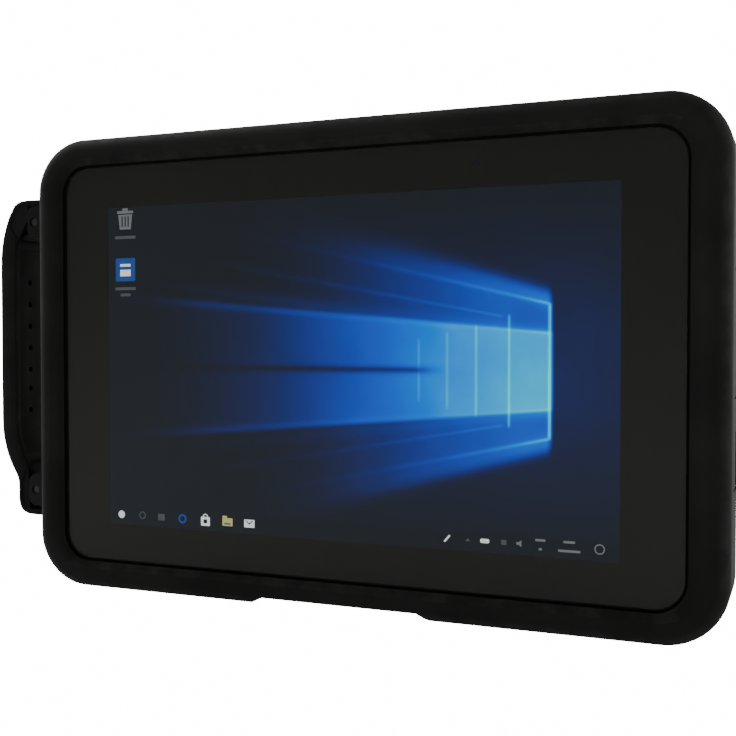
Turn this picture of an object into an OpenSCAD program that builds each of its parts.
// Rugged 8-inch field data collector: a landscape tablet with a padded hand strap on its left side.
// Built in a frame centred on the tablet, x right, y up, z towards the person who reads the screen, and then
// stood upright on its lower edge: the screen faces -Y, and the origin is under the middle of the whole object.

/* [Housing] */
// Width of the housing
body_w = 231.6; // [225:0.2:240]
// Height of the housing
body_h = 154.5; // [150:0.5:160]
// Depth of the housing
body_d = 28; // [28:0.5:32]
// Radius of the four outline corners
corner_r = 18.5; // [18:0.5:24]
// Radius of the front outer edge
front_edge_r = 5.5; // [5:0.1:7]
// Radius of the rear outer edge
rear_edge_r = 4.5; // [4:0.5:6]
// Thickness of the side walls
side_wall = 4; // [3.8:0.1:4.2]
// Thickness of the rear wall
rear_wall = 3; // [2.8:0.1:3.2]
// Depth of the front bezel behind its crest
bezel_d = 7.5; // [7.2:0.1:7.8]
// Depth of the back panel below the raised border round it
panel_set = 0.8; // [0.4:0.1:0.8]

/* [Screen] */
// Width of the cover glass
glass_w = 207.8; // [206:0.2:209]
// Height of the cover glass
glass_h = 134.1; // [133:0.1:135]
// Corner radius of the cover glass
glass_r = 9; // [7:0.5:10]
// Thickness of the cover glass
glass_t = 1.1; // [0.8:0.1:1.1]
// Depth of the glass below the rim's crest
glass_set = 2; // [1.5:0.1:2.2]
// Width of the groove round the glass
groove = 0.8; // [0.5:0.1:1]
// Width of the lit area
display_w = 172.3; // [170:0.1:174]
// Height of the lit area
display_h = 107.7; // [106:0.1:109]

/* [Hand strap] */
// Width of the padded strap
strap_w = 17; // [16:0.5:18]
// Furthest reach of the strap from the housing's side
strap_reach = 21.9; // [21:0.1:24]
// Thickness of the outer cover
cover_t = 1.6; // [1.2:0.1:1.6]
// Thickness of the webbing
web_t = 1.4; // [1:0.1:1.4]
// Thickness of the inner pad
pad_t = 3.5; // [3:0.1:3.5]

/* [Buttons and ports] */
// Length of a side button
button_l = 12; // [10:0.5:12]
// Width of a side button
button_w = 5; // [4:0.2:5]
// Travel of a side button
button_travel = 0.6; // [0.4:0.1:0.6]
// Length of the data port cover
data_cover_l = 36; // [34:1:36]
// Length of the power port cover
power_cover_l = 16; // [14:1:16]

/* [Mounting] */
// Spacing of the rear mounting holes across
mount_x = 38.1; // [38.1:0.1:38.1]
// Spacing of the rear mounting holes up and down
mount_y = 30.2; // [30.2:0.1:30.2]

/* [Hidden] */
$fn = 64;
eps = 0.01;

// Heights through the tablet, measured towards the reader from its middle
crest_z = body_d / 2;
rear_z = -body_d / 2;
back_z = rear_z + panel_set;
part_z = crest_z - bezel_d;
glass_z = crest_z - glass_set;
glass_back_z = glass_z - glass_t;
seal_t = 0.6;
ledge_z = glass_back_z - seal_t;
ledge_t = 2;
panel_t = 1.4;
backlight_t = 2.6;
backlight_z = glass_back_z - panel_t - backlight_t;
frame_t = 1.5;
frame_z = backlight_z - frame_t;
board_t = 1.6;
board_top_z = -0.4;
board_z = board_top_z - board_t;
wall_in_z = rear_z + rear_wall;

// Outlines
side_x = body_w / 2;
side_y = body_h / 2;
middle_x = strap_reach / 2;
back_border_x = 15;
back_border_y = 13;
back_r = 10;
cavity_w = body_w - 2 * side_wall;
cavity_h = body_h - 2 * side_wall;
cavity_r = corner_r - side_wall;
pocket_w = glass_w + 2 * groove;
pocket_h = glass_h + 2 * groove;
pocket_r = glass_r + groove;
crest_out_x = 5;
crest_out_y = 3;
window_w = 198;
window_h = 127;
display_x = -0.3;
display_y = -0.8;
panel_w = display_w + 7.7;
panel_h = display_h + 3.3;
frame_w = 200;
frame_h = 126;
camera_x = 43.6;
camera_y = 60;
sensor_x = 60.3;
sensor_y = 59.4;

// Case screws, their inserts and the frame's screws
case_inset = 10.8;
edge_inset = 7.3;
case_points = concat(
    [for (x = [-1, 1], y = [-1, 1]) [x * (side_x - case_inset), y * (side_y - case_inset)]],
    [for (y = [-1, 1], x = [-1, 1]) [x * (y > 0 ? 38 : 45), y * (side_y - edge_inset)]]);
boss_r = 4.4;
case_hole_r = 1.35;
case_shank_r = 1.22;
case_head_r = 2.4;
case_head_z = -8;
insert_r = 1.8;
insert_bore_r = 1.25;
insert_l = 3.5;
tab_points = [for (x = [-1, 1], y = [-1, 1]) [x * 102, y * 30]];
tab_r = 3.2;
small_hole_r = 0.8;
small_shank_r = 0.78;

// Main board and what it carries
board_x0 = -66;
board_x1 = 92;
board_y0 = -2;
board_y1 = 60;
board_points = [for (x = [board_x0 + 4, 13, board_x1 - 4], y = [board_y0 + 4, board_y1 - 4]) [x, y]];
standoff_r = 2.2;

// Battery bay and its door, in the lower half of the back
bay_y = -34;
bay_w = 140;
bay_h = 46;
bay_floor_z = -3;
bay_wall = 1.5;
door_w = 150;
door_h = 56;
door_t = 2.4;
door_gap = 0.3;
door_r = 4;
door_screw_points = [for (x = [-1, 0, 1], y = [-1, 1]) [x * (door_w / 2 - 2.5), bay_y + y * (door_h / 2 - 2.5)]];

// Rear mounting pattern, camera and speakers
mount_y0 = 20;
mount_points = [for (x = [-1, 1], y = [-1, 1]) [x * mount_x / 2, mount_y0 + y * mount_y / 2]];
mount_bore_r = 1.65;
mount_insert_r = 2.8;
rear_camera_at = [82, 50];
flash_at = [69, 50];
speaker_x = 88;
speaker_y = -48;

// Buttons in the top edge
button_z = -1;
power_button_x = -84;
function_button_x = -64;
volume_down_x = 62;
volume_up_x = 80;
button_xs = [power_button_x, function_button_x, volume_down_x, volume_up_x];
button_sink = 0.2;
button_gap = 0.25;
flange_t = 1.2;
flange_lip = 1.2;

// Port covers in the right side: the hinge axis runs up and down, just under the surface
hinge_x = side_x - 1.9;
hinge_z = -5.8;
knuckle_r = 1.7;
pin_r = 0.75;
pin_bore_r = 0.8;
pin_seat_r = 0.77;
pin_grip = 3;
leaf_t = 1.8;
leaf_z = 3.5;
cover_gap = 0.3;
cover_seal_t = 1;
port_face_x = side_x - 3.4;
data_cover_y = 10;
power_cover_y = -26;
usb_y = 18;
audio_y = 2;
port_z = -1;

// Seal between the housings, measured in from their sides
seal_in = 2.9;
seal_w = 0.8;
seal_h = 0.9;

// Dock recess in the bottom edge, deeper in the bezel than behind it
dock_x = -1.4;
dock_top_w = 54;
dock_mouth_w = 62;
dock_recess = 2;
bezel_recess = 2.8;
dock_z = -1;

// Hand strap: a flat run between two bends, hung on two pins
strap_x = -side_x - strap_reach;
strap_z = -4;
strap_low_y = -18;
strap_high_y = 36;
top_bend_r = 40;
low_bend_r = 37;
strap_turn_y = -39;
strap_bend_r = 4.5;
strap_top_x = strap_x + 8.8;
strap_top_y = 58.5;
strap_bottom_x = strap_x + 11.04;
strap_bottom_y = -53.8;
strap_tail_x = -side_x - 3.5;
anchor_plate_t = 2.4;
ear_t = 2.3;
web_w = strap_w - 2 * ear_t - 0.4;
pin_x = -side_x - 7.6;
upper_pin_y = 50.5;
lower_pin_y = -45.8;
strap_pin_r = 1.5;
anchor_screw_pitch = 5;

// The webbing's eyes round the pins, and where the pad ends
upper_eye_r = 3.2;
lower_eye_r = 4.6;
web_bend = [strap_x + 2.8, 45.8];
web_rise = [8.9, 6];
web_drop_x = strap_x + 8.5;
web_drop_t = 1.7;
web_drop_h = 7;
pad_low_y = -37.5;
pad_high_y = 45;

// Stands what is drawn in the tablet's own frame upright on its lower edge
module upright() {
    translate([middle_x, 0, side_y])
        rotate([90, 0, 0])
            children();
}

module round_rect(w, h, r) {
    square([w - 2 * r, h], center = true);
    square([w, h - 2 * r], center = true);
    for (x = [-1, 1], y = [-1, 1])
        translate([x * (w / 2 - r), y * (h / 2 - r)])
            circle(r);
}

module slab(w, h, r, z0, z1) {
    translate([0, 0, z0])
        linear_extrude(z1 - z0)
            round_rect(w, h, r);
}

module frame_slab(w0, h0, r0, w1, h1, r1, z0, z1) {
    translate([0, 0, z0])
        linear_extrude(z1 - z0)
            difference() {
                round_rect(w0, h0, r0);
                round_rect(w1, h1, r1);
            }
}

module block(x0, x1, y0, y1, z0, z1) {
    translate([x0, y0, z0])
        cube([x1 - x0, y1 - y0, z1 - z0]);
}

module post(at, r, z0, z1) {
    translate([at[0], at[1], z0])
        cylinder(r = r, h = z1 - z0);
}

module posts(points, r, z0, z1) {
    for (at = points)
        post(at, r, z0, z1);
}

// A cylinder along x or along y
module rod_x(x0, x1, y, z, r) {
    translate([x0, y, z])
        rotate([0, 90, 0])
            cylinder(r = r, h = x1 - x0);
}

module rod_y(x, y0, y1, z, r) {
    translate([x, y0, z])
        rotate([-90, 0, 0])
            cylinder(r = r, h = y1 - y0);
}

// A slab whose edge follows the child's half section, drawn outwards from the corners' centres
module edged_slab(w, h, r, z0, z1) {
    block(-(w / 2 - r), w / 2 - r, -(h / 2 - r), h / 2 - r, z0, z1);
    for (turn = [0:3])
        let (a = turn % 2 == 0 ? w : h, b = turn % 2 == 0 ? h : w)
            rotate(90 * turn)
                translate([a / 2 - r, b / 2 - r, 0]) {
                    rotate([90, 0, 0])
                        linear_extrude(b - 2 * r)
                            children();
                    rotate_extrude(angle = 90)
                        children();
                }
}

module front_section() {
    intersection() {
        translate([0, part_z])
            square([corner_r, bezel_d]);
        union() {
            translate([corner_r - front_edge_r, crest_z - front_edge_r])
                circle(front_edge_r);
            square([corner_r - front_edge_r, crest_z]);
            square([corner_r, crest_z - front_edge_r]);
        }
    }
}

module rear_section() {
    translate([0, rear_z])
        square([corner_r - rear_edge_r, part_z - rear_z]);
    translate([0, rear_z + rear_edge_r])
        square([corner_r, part_z - rear_z - rear_edge_r]);
    intersection() {
        translate([0, rear_z])
            square([corner_r, rear_edge_r]);
        translate([corner_r - rear_edge_r, rear_z + rear_edge_r])
            circle(rear_edge_r);
    }
}

module glass_section() {
    polygon([[0, glass_back_z], [glass_r, glass_back_z], [glass_r, glass_z - 0.3],
        [glass_r - 0.3, glass_z], [0, glass_z]]);
}

module dock_cut(recess) {
    translate([dock_x, -side_y, rear_z - 1])
        linear_extrude(body_d + 2)
            polygon([[-dock_mouth_w / 2 - 2, -1], [dock_mouth_w / 2 + 2, -1], [dock_mouth_w / 2, 0],
                [dock_top_w / 2, recess], [-dock_top_w / 2, recess], [-dock_mouth_w / 2, 0]]);
}

// The sloping inner face of the rim, from the glass up to the crest
module rim_slope() {
    hull() {
        slab(pocket_w, pocket_h, pocket_r, glass_z, glass_z + eps);
        slab(glass_w + 2 * crest_out_x, glass_h + 2 * crest_out_y, glass_r + crest_out_y,
            crest_z, crest_z + eps);
    }
}

module front_bezel() {
    color([0.07, 0.07, 0.068])
        upright()
            difference() {
                union() {
                    difference() {
                        edged_slab(body_w, body_h, corner_r, part_z, crest_z)
                            front_section();
                        slab(cavity_w, cavity_h, cavity_r, part_z - 1, ledge_z - ledge_t);
                    }
                    posts(case_points, boss_r, part_z, ledge_z - ledge_t + eps);
                    posts(tab_points, tab_r - 0.4, frame_z + frame_t, ledge_z - ledge_t + eps);
                }
                rim_slope();
                slab(pocket_w, pocket_h, pocket_r, ledge_z, crest_z);
                slab(window_w, window_h, 3, part_z - 1, crest_z);
                posts(case_points, insert_r, part_z - 1, part_z + insert_l + 0.2);
                posts(tab_points, small_hole_r, part_z - 1, ledge_z - 0.5);
                dock_cut(bezel_recess);
            }
}

module cover_glass() {
    color([0.05, 0.05, 0.055])
        upright()
            edged_slab(glass_w, glass_h, glass_r, glass_back_z, glass_z)
                glass_section();
}

module glass_seal() {
    color([0.03, 0.03, 0.03])
        upright()
            frame_slab(glass_w - 1.4, glass_h - 1.4, glass_r - 0.7, window_w + 1, window_h + 1, 4,
                ledge_z, glass_back_z);
}

module display_panel() {
    color([0.03, 0.08, 0.25])
        upright()
            translate([display_x, display_y, 0])
                slab(panel_w, panel_h, 1, glass_back_z - panel_t, glass_back_z);
}

module backlight_unit() {
    color([0.8, 0.8, 0.82])
        upright()
            translate([display_x, display_y, 0])
                slab(panel_w, panel_h, 1, backlight_z, glass_back_z - panel_t);
}

module mid_frame() {
    color([0.45, 0.46, 0.48])
        upright()
            difference() {
                union() {
                    slab(frame_w, frame_h, 5, frame_z, frame_z + frame_t);
                    posts(tab_points, tab_r, frame_z, frame_z + frame_t);
                    posts(board_points, standoff_r, board_top_z, frame_z + eps);
                }
                posts(tab_points, 1.1, frame_z - 1, crest_z);
                posts(board_points, small_hole_r, board_top_z - 1, frame_z - 1);
                block(camera_x - 5, camera_x + 5, camera_y - 4.5, side_y, frame_z - 1, crest_z);
                block(-23, -1, 1, 9, frame_z - 1, crest_z);
                for (x = [-70, -42, 26, 52, 78])
                    translate([x, -34, 0])
                        slab(18, 34, 4, frame_z - 1, crest_z);
            }
}

module frame_screws() {
    color([0.6, 0.6, 0.62])
        upright()
            for (at = tab_points) {
                post(at, 1.8, frame_z - 1.2, frame_z);
                post(at, small_shank_r, frame_z - eps, ledge_z - 0.8);
            }
}

module front_camera() {
    color([0.1, 0.1, 0.12])
        upright() {
            block(camera_x - 3.5, camera_x + 3.5, camera_y - 3.5, camera_y + 3.5, 3.4, 6.5);
            post([camera_x, camera_y], 2.4, 6.5 - eps, glass_back_z - 0.1);
        }
}

module light_sensor() {
    color([0.2, 0.2, 0.22])
        upright()
            block(sensor_x - 1.6, sensor_x + 1.6, sensor_y - 1.2, sensor_y + 1.2,
                glass_back_z - 1.2, glass_back_z);
}

// A flat cable, folded flat at both ends, seen from its edge
module flat_cable(y, z0, z1, foot0, foot1, t) {
    polygon([[y + foot0, z0], [y, z0], [y, z1], [y + foot1, z1], [y + foot1, z1 - t],
        [y + t, z1 - t], [y + t, z0 + t], [y + foot0, z0 + t]]);
}

module cable_along_x(x0, x1) {
    translate([x0, 0, 0])
        rotate([90, 0, 90])
            linear_extrude(x1 - x0)
                children();
}

module display_cable() {
    color([0.65, 0.4, 0.1])
        upright()
            cable_along_x(-20, -4)
                flat_cable(3, board_top_z, backlight_z, 6, 4, 0.3);
}

module camera_cable() {
    color([0.65, 0.4, 0.1])
        upright()
            cable_along_x(camera_x - 2, camera_x + 2)
                flat_cable(camera_y - 8, board_top_z, 3.4, 5, 8, 0.3);
}

module main_board() {
    color([0.08, 0.3, 0.16])
        upright()
            difference() {
                block(board_x0, board_x1, board_y0, board_y1, board_z, board_top_z);
                posts(board_points, 1.1, board_z - 1, board_top_z + 1);
            }
}

module shield_cans() {
    color([0.75, 0.75, 0.77])
        upright() {
            block(-2, 42, 4, 32, board_z - 2.6, board_z);
            block(-30, -8, 6, 28, board_z - 2.2, board_z);
        }
}

module heat_spreader() {
    color([0.72, 0.42, 0.25])
        upright()
            block(-6, 46, 3, 40, board_z - 3.4, board_z - 2.6);
}

module storage_module() {
    color([0.05, 0.2, 0.3])
        upright()
            block(52, 74, 2, 44, board_z - 3.2, board_z);
}

module radio_module() {
    color([0.7, 0.7, 0.72])
        upright()
            block(-60, -34, 2, 24, board_z - 2.4, board_z);
}

module gnss_antenna() {
    color([0.82, 0.78, 0.68])
        upright() {
            block(-55, -30, 30, 55, board_z - 4, board_z);
            post([-42.5, 42.5], 1.4, board_z - 4.6, board_z - 4 + eps);
        }
}

module wifi_antennas() {
    color([0.7, 0.45, 0.15])
        upright()
            for (x = [-99, 93])
                block(x, x + 6, 4, 40, wall_in_z, wall_in_z + 0.8);
}

module board_screws() {
    color([0.6, 0.6, 0.62])
        upright()
            for (at = board_points) {
                post(at, 1.8, board_z - 1.2, board_z);
                post(at, small_shank_r, board_z - eps, frame_z - 2);
            }
}

module button_boards() {
    color([0.08, 0.3, 0.16])
        upright() {
            block(power_button_x - 9, function_button_x + 9, 67.4, 68.4, button_z - 4.5, button_z + 4.5);
            block(volume_down_x - 9, volume_up_x + 9, 67.4, 68.4, button_z - 4.5, button_z + 4.5);
        }
}

module button_switches() {
    color([0.2, 0.2, 0.2])
        upright()
            for (x = button_xs) {
                block(x - 3, x + 3, 68.4, 70.2, button_z - 1.8, button_z + 1.8);
                rod_y(x, 70.2 - eps, 70.9, button_z, 1.2);
            }
}

module speakers() {
    color([0.15, 0.15, 0.16])
        upright()
            for (x = [-speaker_x, speaker_x]) {
                block(x - 9, x + 9, speaker_y - 13, speaker_y + 13, wall_in_z + 0.4, -4.6);
                post([x, speaker_y], 7, -4.6 - eps, -3.8);
            }
}

module speaker_meshes() {
    color([0.1, 0.1, 0.1])
        upright()
            for (x = [-speaker_x, speaker_x])
                block(x - 8, x + 8, speaker_y - 9, speaker_y + 9, wall_in_z, wall_in_z + 0.3);
}

module io_board() {
    color([0.08, 0.3, 0.16])
        upright()
            block(97.5, 109.5, -31, 26, port_z - 4.5, port_z - 2.9);
}

module usb_port() {
    color([0.75, 0.75, 0.77])
        upright() {
            difference() {
                block(98.6, port_face_x - 0.2, usb_y - 6.6, usb_y + 6.6, port_z - 2.9, port_z + 2.9);
                block(103, side_x, usb_y - 6.2, usb_y + 6.2, port_z - 2.5, port_z + 2.5);
            }
            block(102.8, 111.4, usb_y - 5.6, usb_y + 5.6, port_z + 0.3, port_z + 2.1);
        }
}

module audio_socket() {
    color([0.12, 0.12, 0.13])
        upright()
            difference() {
                block(100.4, port_face_x - 0.2, audio_y - 3.1, audio_y + 3.1, port_z - 2.9, port_z + 2.9);
                rod_x(101.5, side_x, audio_y, port_z, 1.8);
            }
}

module power_socket() {
    color([0.12, 0.12, 0.13])
        upright() {
            difference() {
                block(100.4, port_face_x - 0.2, power_cover_y - 4.2, power_cover_y + 4.2,
                    port_z - 2.9, port_z + 2.9);
                rod_x(102, side_x, power_cover_y, port_z, 2.6);
            }
            rod_x(102 - eps, port_face_x - 1, power_cover_y, port_z, 0.9);
        }
}

module battery_pack() {
    color([0.16, 0.16, 0.18])
        upright()
            translate([0, bay_y, 0])
                slab(bay_w - 2, bay_h - 2, 2, back_z + door_t + 0.9, bay_floor_z - 0.2);
}

module battery_contacts() {
    color([0.85, 0.7, 0.3])
        upright()
            for (x = [-6:3:6])
                block(x - 0.8, x + 0.8, bay_y + bay_h / 2 - 0.8, bay_y + bay_h / 2, -8, -5);
}

module rear_camera() {
    color([0.1, 0.1, 0.12])
        upright() {
            block(rear_camera_at[0] - 4.5, rear_camera_at[0] + 2.5, rear_camera_at[1] - 4.5,
                rear_camera_at[1] + 4.5, -7, board_z);
            post(rear_camera_at, 3.4, back_z + 1.4, -7 + eps);
        }
}

module rear_camera_window() {
    color([0.1, 0.12, 0.15, 0.6])
        upright()
            post(rear_camera_at, 4.6, back_z + 0.3, back_z + 1.3);
}

module flash_lens() {
    color([0.95, 0.93, 0.8, 0.8])
        upright()
            post(flash_at, 2.2, back_z + 0.2, wall_in_z - 0.1);
}

module dock_connector() {
    color([0.12, 0.12, 0.12])
        upright()
            block(dock_x - 18, dock_x + 18, -side_y + dock_recess, -68, dock_z - 3.5, dock_z + 3.5);
}

module dock_contacts() {
    color([0.85, 0.7, 0.3])
        upright()
            for (x = [-14:4:14])
                rod_y(dock_x + x, -side_y + dock_recess - 0.5, -side_y + dock_recess, dock_z, 0.9);
}

// The ring that the seal fills, up to the given height
module seal_ring(top_z) {
    frame_slab(body_w - 2 * seal_in, body_h - 2 * seal_in, corner_r - seal_in,
        body_w - 2 * (seal_in + seal_w), body_h - 2 * (seal_in + seal_w), corner_r - seal_in - seal_w,
        part_z - seal_h, top_z);
}

module housing_seal() {
    color([0.05, 0.05, 0.05])
        upright()
            seal_ring(part_z);
}

// Seats, slots and windows that the rear housing is cut for
module button_slots() {
    for (x = button_xs)
        translate([x, side_y - side_wall - 1, button_z])
            rotate([-90, 0, 0])
                linear_extrude(side_wall + 2)
                    round_rect(button_l + 2 * button_gap, button_w + 2 * button_gap,
                        button_w / 2 + button_gap - eps);
}

module cover_seat(y, l) {
    block(side_x - leaf_t - 0.3, side_x + 1, y - l / 2 - cover_gap, y + l / 2 + cover_gap,
        hinge_z, leaf_z + cover_gap);
    block(hinge_x - knuckle_r - 0.3, side_x + 1, y - l / 2 - cover_gap, y + l / 2 + cover_gap,
        hinge_z - knuckle_r - cover_gap, hinge_z + knuckle_r + cover_gap);
    block(port_face_x, side_x + 1, y - l / 2 + 1, y + l / 2 - 1, hinge_z, leaf_z - 0.2);
    rod_y(hinge_x, y - l / 2 - pin_grip, y + l / 2 + pin_grip, hinge_z, pin_seat_r);
    block(side_x - 1.4, side_x + 1, y - 5, y + 5, leaf_z, leaf_z + 1.8);
}

module port_holes() {
    for (port = [[usb_y, 6.6], [audio_y, 3.1], [power_cover_y, 4.2]])
        block(side_x - 8, side_x, port[0] - port[1] - 0.15, port[0] + port[1] + 0.15,
            port_z - 3.05, port_z + 3.05);
}

module speaker_holes() {
    for (x = [-speaker_x, speaker_x], i = [-2:2], j = [-2:2])
        post([x + 2.6 * i, speaker_y + 2.6 * j], 0.7, rear_z - 1, wall_in_z + 1);
}

module anchor_holes() {
    for (y = [upper_pin_y, lower_pin_y], side = [-1, 1])
        rod_x(-side_x - 1, -side_x + 7, y + side * anchor_screw_pitch, strap_z, case_shank_r + 0.03);
}

module rear_housing_body() {
    difference() {
        edged_slab(body_w, body_h, corner_r, rear_z, part_z)
            rear_section();
        slab(cavity_w, cavity_h, cavity_r, wall_in_z, part_z + 1);
    }
    posts(case_points, boss_r, wall_in_z - eps, part_z);
    posts(mount_points, mount_insert_r + 1.7, wall_in_z - eps, -6.5);
    translate([0, bay_y, 0]) {
        slab(bay_w + 2 * bay_wall, bay_h + 2 * bay_wall, 3, wall_in_z - eps, bay_floor_z + bay_wall);
        slab(door_w + 3, door_h + 3, 6, wall_in_z - eps, wall_in_z + 2.5);
    }
    block(side_x - 6, side_x - side_wall + eps, power_cover_y - 11, data_cover_y + 21, -8.4, 4.6);
    for (y = [upper_pin_y, lower_pin_y])
        block(-side_x + side_wall - eps, -side_x + side_wall + 4, y - 8, y + 8, strap_z - 3.5, strap_z + 3.5);
}

module rear_housing() {
    color([0.07, 0.07, 0.068])
        upright()
            difference() {
                rear_housing_body();
                slab(body_w - 2 * back_border_x, body_h - 2 * back_border_y, back_r, rear_z - 1, back_z);
                translate([0, bay_y, 0]) {
                    slab(door_w + 2 * door_gap, door_h + 2 * door_gap, door_r + door_gap, rear_z - 1,
                        back_z + door_t);
                    slab(bay_w, bay_h, 2, rear_z - 1, bay_floor_z);
                }
                block(-8, 8, bay_y + bay_h / 2 - eps, bay_y + bay_h / 2 + 0.2, -8.2, -4.8);
                posts(door_screw_points, 1.02, rear_z, wall_in_z + 2);
                posts(case_points, case_hole_r, rear_z, part_z + 1);
                posts(case_points, case_head_r + 0.4, rear_z - 1, case_head_z);
                posts(mount_points, mount_insert_r, rear_z - 1, -7.3);
                post(rear_camera_at, 4.65, rear_z - 1, back_z + 1.3);
                post(rear_camera_at, 3.6, rear_z - 1, wall_in_z + 1);
                post(flash_at, 2.25, rear_z - 1, wall_in_z + 1);
                speaker_holes();
                button_slots();
                cover_seat(data_cover_y, data_cover_l);
                cover_seat(power_cover_y, power_cover_l);
                port_holes();
                anchor_holes();
                dock_cut(dock_recess);
                block(dock_x - 18.15, dock_x + 18.15, -side_y - 1, -70, dock_z - 3.65, dock_z + 3.65);
                seal_ring(part_z + 1);
            }
}

module case_inserts() {
    color([0.8, 0.65, 0.3])
        upright()
            for (at = case_points)
                difference() {
                    post(at, insert_r, part_z, part_z + insert_l);
                    post(at, insert_bore_r, part_z - 1, part_z + insert_l + 1);
                }
}

module case_screws() {
    color([0.2, 0.2, 0.2])
        upright()
            for (at = case_points) {
                difference() {
                    post(at, case_head_r, case_head_z - 1.7, case_head_z);
                    translate([at[0], at[1], case_head_z - 2])
                        cylinder(r = 1.1, h = 1.2, $fn = 6);
                }
                post(at, case_shank_r, case_head_z - eps, part_z + insert_l - 0.3);
            }
}

module mount_inserts() {
    color([0.8, 0.65, 0.3])
        upright()
            for (at = mount_points)
                difference() {
                    post(at, mount_insert_r, back_z + 0.2, -7.3);
                    post(at, mount_bore_r, rear_z - 1, -8);
                }
}

module battery_door() {
    color([0.09, 0.09, 0.088])
        upright()
            difference() {
                translate([0, bay_y, 0])
                    slab(door_w, door_h, door_r, back_z, back_z + door_t);
                posts(door_screw_points, 1.15, rear_z, back_z + door_t + 1);
                posts(door_screw_points, 2.2, rear_z, back_z + 1.5);
                for (i = [-3:3])
                    translate([0, bay_y + 5 * i, 0])
                        slab(84, 1.6, 0.75, rear_z, back_z + 0.6);
            }
}

module battery_door_seal() {
    color([0.05, 0.05, 0.05])
        upright()
            translate([0, bay_y, 0])
                frame_slab(bay_w - 0.6, bay_h - 0.6, 3, bay_w - 4, bay_h - 4, 1.5,
                    back_z + door_t, back_z + door_t + 0.8);
}

module battery_door_screws() {
    color([0.55, 0.55, 0.57])
        upright()
            for (at = door_screw_points) {
                difference() {
                    post(at, 2, back_z + 0.3, back_z + 1.5);
                    translate([at[0], at[1], back_z])
                        cylinder(r = 1, h = 1, $fn = 6);
                }
                post(at, 1, back_z + 1.5 - eps, wall_in_z + 1.6);
            }
}

// A cap in the top edge, with a flange inside that keeps it in
module edge_button(x) {
    color([0.09, 0.09, 0.088])
        upright()
            translate([x, side_y - side_wall - 0.1, button_z])
                rotate([-90, 0, 0]) {
                    translate([0, 0, -flange_t])
                        linear_extrude(flange_t + eps)
                            round_rect(button_l + 2 * flange_lip, button_w + 2 * flange_lip, 3);
                    linear_extrude(side_wall + 0.1 - button_sink)
                        round_rect(button_l, button_w, button_w / 2 - eps);
                }
}

module power_button() {
    edge_button(power_button_x);
}

module function_button() {
    edge_button(function_button_x);
}

module volume_down_button() {
    edge_button(volume_down_x);
}

module volume_up_button() {
    edge_button(volume_up_x);
}

// A port cover: a leaf with its knuckle along the rear edge, bored for the pin
module port_cover(y, l) {
    color([0.08, 0.08, 0.078])
        upright()
            difference() {
                union() {
                    rod_y(hinge_x, y - l / 2, y + l / 2, hinge_z, knuckle_r);
                    block(side_x - 0.2 - leaf_t, side_x - 0.2, y - l / 2, y + l / 2, hinge_z, leaf_z);
                }
                rod_y(hinge_x, y - l / 2 - 1, y + l / 2 + 1, hinge_z, pin_bore_r);
            }
}

module port_cover_seal(y, l) {
    color([0.04, 0.04, 0.04])
        upright()
            block(side_x - 0.2 - leaf_t - cover_seal_t, side_x - 0.2 - leaf_t, y - l / 2 + 1.6, y + l / 2 - 1.6,
                hinge_z + 2.3, leaf_z - 0.6);
}

module data_cover() {
    port_cover(data_cover_y, data_cover_l);
}

module data_cover_seal() {
    port_cover_seal(data_cover_y, data_cover_l);
}

module power_cover() {
    port_cover(power_cover_y, power_cover_l);
}

module power_cover_seal() {
    port_cover_seal(power_cover_y, power_cover_l);
}

module cover_pins() {
    color([0.7, 0.7, 0.72])
        upright()
            for (cover = [[data_cover_y, data_cover_l], [power_cover_y, power_cover_l]])
                rod_y(hinge_x, cover[0] - cover[1] / 2 - pin_grip + 0.1,
                    cover[0] + cover[1] / 2 + pin_grip - 0.1, hinge_z, pin_r);
}

// A strap anchor: a plate on the housing's side with two ears that hold the pin
module strap_anchor(y) {
    color([0.12, 0.12, 0.118])
        upright()
            difference() {
                union() {
                    block(-side_x - anchor_plate_t, -side_x, y - 7.8, y + 7.8,
                        strap_z - strap_w / 2, strap_z + strap_w / 2);
                    for (z = [strap_z - strap_w / 2, strap_z + strap_w / 2 - ear_t])
                        translate([-side_x - 5.8, y, 0])
                            slab(9.2, 11.6, 3, z, z + ear_t);
                }
                post([pin_x, y], strap_pin_r + 0.02, rear_z, crest_z);
                for (side = [-1, 1]) {
                    rod_x(-side_x - 4, -side_x + 1, y + side * anchor_screw_pitch, strap_z,
                        case_shank_r + 0.05);
                    translate([-side_x - anchor_plate_t - eps, y + side * anchor_screw_pitch, strap_z])
                        rotate([0, 90, 0])
                            cylinder(r1 = 2.5, r2 = case_shank_r, h = 1.3);
                }
            }
}

module upper_strap_anchor() {
    strap_anchor(upper_pin_y);
}

module lower_strap_anchor() {
    strap_anchor(lower_pin_y);
}

module anchor_screws() {
    color([0.6, 0.6, 0.62])
        upright()
            for (y = [upper_pin_y, lower_pin_y], side = [-1, 1]) {
                rod_x(-side_x - 1.5, -side_x + 6.5, y + side * anchor_screw_pitch, strap_z, case_shank_r);
                translate([-side_x - anchor_plate_t + 0.1, y + side * anchor_screw_pitch, strap_z])
                    rotate([0, 90, 0])
                        cylinder(r1 = 2.3, r2 = case_shank_r, h = 1.1);
            }
}

module strap_pins() {
    color([0.7, 0.7, 0.72])
        upright()
            posts([[pin_x, upper_pin_y], [pin_x, lower_pin_y]], strap_pin_r,
                strap_z - strap_w / 2 + 0.5, strap_z + strap_w / 2 - 0.5);
}

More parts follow.
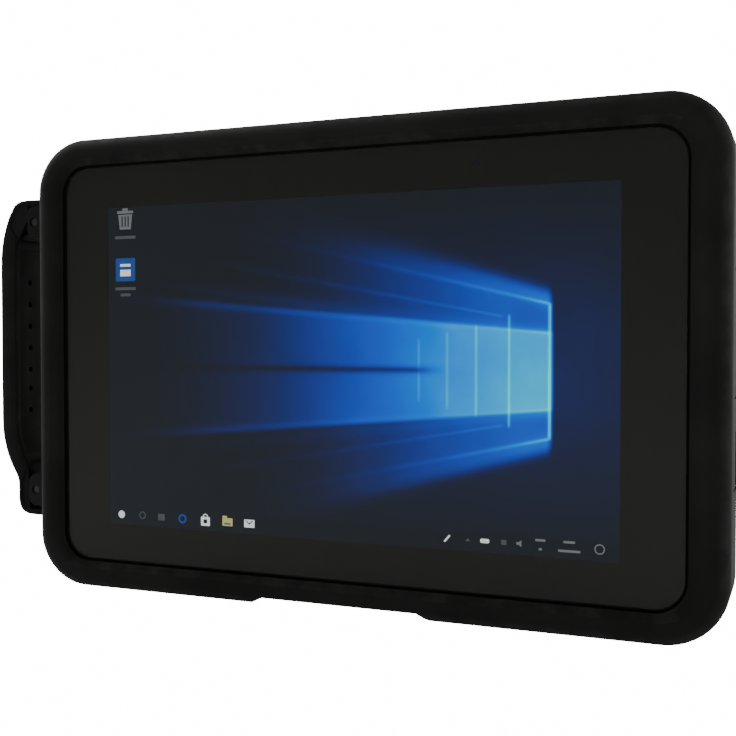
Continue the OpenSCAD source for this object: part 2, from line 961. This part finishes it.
// Part of the strap's thickness, from inset to inset + t behind its outer face, between two heights
module strap_band(inset, t, y0, y1) {
    translate([strap_x + inset, max(y0, strap_low_y)])
        square([t, min(y1, strap_high_y) - max(y0, strap_low_y)]);
    if (y1 > strap_high_y)
        intersection() {
            translate([strap_x - 1, strap_high_y])
                square([strap_reach, y1 - strap_high_y]);
            translate([strap_x + top_bend_r, strap_high_y])
                difference() {
                    circle(top_bend_r - inset);
                    circle(top_bend_r - inset - t);
                }
        }
    if (y0 < strap_low_y)
        intersection() {
            translate([strap_x - 1, y0])
                square([strap_reach, strap_low_y - y0]);
            translate([strap_x + low_bend_r, strap_low_y])
                difference() {
                    circle(low_bend_r - inset);
                    circle(low_bend_r - inset - t);
                }
        }
}

module strap_layer(width) {
    upright()
        translate([0, 0, strap_z - width / 2])
            linear_extrude(width)
                children();
}

module strap_webbing() {
    color([0.11, 0.11, 0.11])
        strap_layer(web_w)
            difference() {
                union() {
                    strap_band(cover_t, web_t, strap_turn_y, web_bend[1] + 0.2);
                    polygon([web_bend, web_bend + [1.6, 0], web_bend + web_rise + [1.6, 0],
                        web_bend + web_rise + [0.8, 1.4]]);
                    translate([pin_x, upper_pin_y])
                        circle(upper_eye_r);
                    translate([web_drop_x, lower_pin_y])
                        square([web_drop_t, web_drop_h]);
                    translate([pin_x - 0.5, lower_pin_y])
                        circle(lower_eye_r);
                }
                for (y = [upper_pin_y, lower_pin_y])
                    translate([pin_x, y])
                        circle(strap_pin_r + 0.1);
            }
}

module strap_pad() {
    color([0.1, 0.1, 0.1])
        strap_layer(strap_w)
            strap_band(cover_t + web_t, pad_t, pad_low_y, pad_high_y);
}

// The cover's turn round an anchor, up or down: a short straight, a bend and a tail that runs to the housing
module cover_turn(x, y0, y1, way) {
    bend_y = y1 - way * strap_bend_r;
    translate([x - strap_bend_r, min(y0, bend_y)])
        square([cover_t, abs(bend_y - y0)]);
    intersection() {
        translate([x - strap_bend_r, min(bend_y, y1)])
            square([strap_bend_r, strap_bend_r]);
        translate([x, bend_y])
            difference() {
                circle(strap_bend_r);
                circle(strap_bend_r - cover_t);
            }
    }
    translate([x - eps, way > 0 ? y1 - cover_t : y1])
        square([strap_tail_x - x, cover_t]);
}

module strap_cover() {
    color([0.08, 0.08, 0.08])
        strap_layer(strap_w) {
            strap_band(0, cover_t, strap_turn_y, strap_top_y - strap_bend_r);
            cover_turn(strap_top_x, strap_top_y - strap_bend_r - 0.2, strap_top_y, 1);
            cover_turn(strap_bottom_x, strap_turn_y + 0.2, strap_bottom_y, -1);
        }
}

front_bezel();
cover_glass();
glass_seal();
display_panel();
backlight_unit();
mid_frame();
frame_screws();
front_camera();
light_sensor();
display_cable();
camera_cable();
main_board();
shield_cans();
heat_spreader();
storage_module();
radio_module();
gnss_antenna();
wifi_antennas();
board_screws();
button_boards();
button_switches();
speakers();
speaker_meshes();
io_board();
usb_port();
audio_socket();
power_socket();
battery_pack();
battery_contacts();
rear_camera();
rear_camera_window();
flash_lens();
dock_connector();
dock_contacts();
housing_seal();
rear_housing();
case_inserts();
case_screws();
mount_inserts();
battery_door();
battery_door_seal();
battery_door_screws();
power_button();
function_button();
volume_down_button();
volume_up_button();
data_cover();
data_cover_seal();
power_cover();
power_cover_seal();
cover_pins();
upper_strap_anchor();
lower_strap_anchor();
anchor_screws();
strap_pins();
strap_webbing();
strap_pad();
strap_cover();
